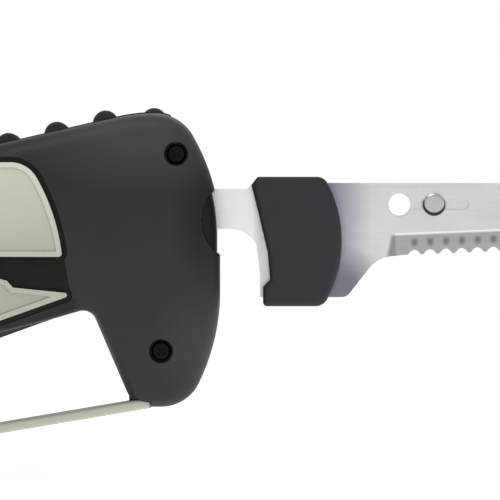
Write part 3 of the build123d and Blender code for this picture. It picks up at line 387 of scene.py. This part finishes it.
# the bezel's near-black is partly its own black plastic and partly painted shade on the head's front
bezel_black_and_shade = moulded("bezel_plastic_and_shade", srgb(15, 13, 14), rough=0.55, grain=2200.0, specular=0.2)
rivet_steel = steel("rivet_steel", srgb(214, 214, 216), rough=0.26, lay="turned", paint=rivet_paint)
blade = steel("blade_steel", srgb(236, 235, 234), rough=0.3, lay="x", paint=blade_painted_light)
dark_screw = steel("screw_steel", srgb(34, 33, 35), rough=0.42, lay="turned")
bright = steel("bright_steel", srgb(200, 200, 203), rough=0.2, lay="turned")
spring = steel("spring_steel", srgb(150, 150, 155), rough=0.3, lay="x")
zinc = steel("galvanised_steel", srgb(160, 162, 166), rough=0.38, lay="z")
acetal = moulded("white_acetal", srgb(226, 226, 216), rough=0.32, vary=0.03)
nylon = moulded("grey_nylon", srgb(118, 120, 124), rough=0.5, vary=0.06)
ferrite = cast("ferrite", srgb(54, 52, 54), 0.62, 0.1)
bronze = cast("bronze", srgb(150, 108, 66), 0.45, 0.9)
carbon = cast("carbon", srgb(36, 36, 38), 0.5, 0.3)
core = stacked("laminations", srgb(132, 132, 138))
copper = wound("copper", srgb(190, 98, 52))
tinned = steel("brass_metal", srgb(204, 168, 96), rough=0.28, lay="turned")
board = laminate("board_laminate", srgb(38, 92, 52))
film = moulded("film_yellow", srgb(206, 158, 42), rough=0.3, vary=0.04)
insulation = moulded("lead_insulation", srgb(160, 34, 30), rough=0.34, vary=0.05)

BY_SLOT = {
    "charcoal_plastic": charcoal,
    "sage_plastic": sage,
    "rim_plastic": rim,
    "bow_plastic": pale,
    "black_rubber": black_rubber,
    "charcoal_rubber": soft_charcoal,
    "black_plastic": black,
    "blade_steel": blade,
    "screw_steel": dark_screw,
    "bright_steel": bright,
    "spring_steel": spring,
    "galvanised_steel": zinc,
    "white_acetal": acetal,
    "grey_nylon": nylon,
    "ferrite": ferrite,
    "bronze": bronze,
    "laminations": core,
    "copper": copper,
    "carbon": carbon,
    "brass_metal": tinned,
    "board_laminate": board,
    "film_yellow": film,
    "lead_insulation": insulation,
}
OWN = {
    "nose_bezel": bezel_black_and_shade,
    "blade_collar_right": collar_black,
    "blade_collar_left": collar_black,
    "blade_rivet": rivet_steel,
}

for part in frame["record"]["subparts"]:
    node = nodes[part["node"]]
    finish = OWN.get(part["node"], BY_SLOT[part["material_slot"]])
    node.data.materials.clear()
    node.data.materials.append(finish)

# the button's coil stands in for the spring, as its own copy of the spring's mesh, carried by the handle
coil = bpy.data.objects.new("release_coil", nodes["release_spring"].data.copy())
bpy.context.scene.collection.objects.link(coil)
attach(coil, "handle")
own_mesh(coil)
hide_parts("release_spring")

# ---------------------------------------------------------------- floor, light, camera
FLOOR_GAP = 0.0005
FLOOR_Z = cad_low.z - FLOOR_GAP
FLOOR_HALF = 3.0
FLOOR_WHITE = (0.82, 0.82, 0.82, 1)
FLOOR_GLOW = 0.56
LIGHT_TARGET = Vector((0.0, 0.0, -0.01))


def plain_floor():
    mesh = bpy.data.meshes.new("floor")
    corners = [(x, y, FLOOR_Z) for x, y in ((-FLOOR_HALF, -FLOOR_HALF), (FLOOR_HALF, -FLOOR_HALF),
                                            (FLOOR_HALF, FLOOR_HALF), (-FLOOR_HALF, FLOOR_HALF))]
    mesh.from_pydata(corners, [], [(0, 1, 2, 3)])
    floor = bpy.data.objects.new("floor", mesh)
    bpy.context.scene.collection.objects.link(floor)
    m = Nodes("floor_white")
    m.uses(FLOOR_WHITE, 0.9)
    m.fixed(Emission_Color=(1, 1, 1, 1), Emission_Strength=FLOOR_GLOW)
    # clear from below, so that the underside can be looked at
    under = m.add("ShaderNodeNewGeometry").outputs["Backfacing"]
    clear = m.add("ShaderNodeBsdfTransparent").outputs["BSDF"]
    mix = m.add("ShaderNodeMixShader")
    m.link(under, mix.inputs[0])
    m.link(m.shader.outputs["BSDF"], mix.inputs[1])
    m.link(clear, mix.inputs[2])
    m.link(mix.outputs["Shader"], m.tree.nodes["Material Output"].inputs["Surface"])
    mesh.materials.append(m.material)


def soft_light(name, at, size, power):
    data = bpy.data.lights.new(name, "AREA")
    data.shape = "DISK"
    data.size = size
    data.energy = power
    lamp = bpy.data.objects.new(name, data)
    lamp.location = at
    lamp.rotation_euler = (LIGHT_TARGET - Vector(at)).to_track_quat("-Z", "Y").to_euler()
    bpy.context.scene.collection.objects.link(lamp)


plain_floor()
soft_light("key", (-0.25, -0.45, 1.0), 0.6, 2.6)
soft_light("fill", (0.8, -0.8, -0.02), 0.5, 0.8)
soft_light("back", (0.2, 0.9, 0.7), 0.8, 2.0)

# the studio's walls look white, and give the object a softer, dimmer light than that
WALL_LIGHT = 0.55
world = bpy.data.worlds.new("studio")
world.use_nodes = True
background = world.node_tree.nodes["Background"]
background.inputs["Color"].default_value = (1, 1, 1, 1)
path = world.node_tree.nodes.new("ShaderNodeLightPath")
level = world.node_tree.nodes.new("ShaderNodeMapRange")
level.inputs["To Min"].default_value = WALL_LIGHT
level.inputs["To Max"].default_value = 1.0
world.node_tree.links.new(path.outputs["Is Camera Ray"], level.inputs["Value"])
world.node_tree.links.new(level.outputs["Result"], background.inputs["Strength"])
scene = bpy.context.scene
scene.world = world
scene.view_settings.view_transform = "Standard"

VIEW_WIDTH = 0.150
VIEW_CENTRE = Vector((0.0093, 0.0, -0.0123))
CAMERA_DISTANCE = 1.4
SENSOR = 36.0
camera_data = bpy.data.cameras.new("camera")
camera_data.sensor_width = SENSOR
camera_data.lens = SENSOR * CAMERA_DISTANCE / VIEW_WIDTH
camera = bpy.data.objects.new("camera", camera_data)
camera.location = VIEW_CENTRE + Vector((0, -CAMERA_DISTANCE, 0))
camera.rotation_euler = (math.pi / 2, 0, 0)
scene.collection.objects.link(camera)
scene.camera = camera
